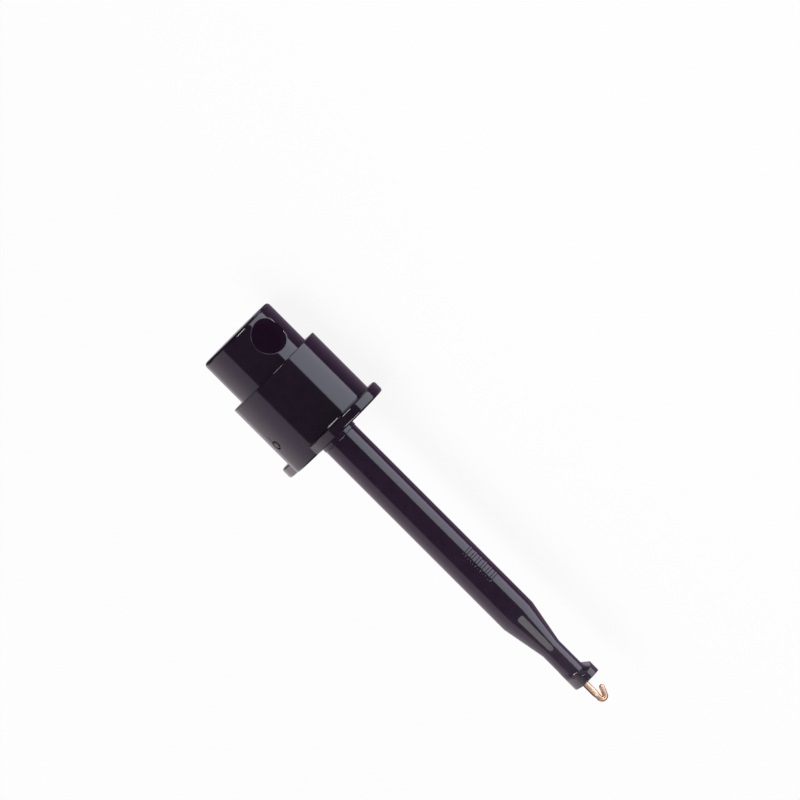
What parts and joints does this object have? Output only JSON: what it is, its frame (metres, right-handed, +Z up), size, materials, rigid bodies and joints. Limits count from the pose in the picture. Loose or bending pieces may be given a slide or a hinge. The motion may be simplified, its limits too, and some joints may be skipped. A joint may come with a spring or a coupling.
{
  "type": "plunger-action hook test clip",
  "caption": "Small black spring-loaded hook clip: thumb cap with a side lead hole, finger flange, long tapered nose and a copper-coloured wire hook at its tip.",
  "frame": {"origin": "centre of the object's footprint, on the table that its collar rests on", "axes": "+X along the clip's axis towards the thumb cap, the hook at -X; finger ears point along -Y and +Y, the side lead hole faces 5 degrees below -Y; +Z up"},
  "size_m": [0.0577, 0.0196, 0.0122],
  "materials": {
    "collar_plastic": "glossy injection-moulded black nylon",
    "barrel_plastic": "glossy injection-moulded black nylon",
    "cap_plastic": "glossy injection-moulded black nylon",
    "stem_plastic": "plain moulded black nylon",
    "hook_wire": "bright copper-coloured plated spring wire",
    "terminal_brass": "turned brass",
    "sleeve_plastic": "natural extruded fluoropolymer tube",
    "spring_steel": "drawn stainless spring wire"
  },
  "bodies": {
    "housing": {"finger_collar": "collar_plastic", "nose_barrel": "barrel_plastic", "return_spring": "spring_steel"},
    "plunger": {"head_cap": "cap_plastic", "plunger_stem": "stem_plastic", "lead_terminal": "terminal_brass", "hook_contact": "hook_wire", "shank_sleeve": "sleeve_plastic"}
  },
  "joints": [
    {"name": "plunger_slide", "type": "slide", "parent": "housing", "child": "plunger", "axis": [-1, 0, 0], "range_m": [-0.00145, 0.00222], "stiffness_N_per_m": 150, "springref_m": -0.008, "deforming": ["return_spring"]}
  ]
}
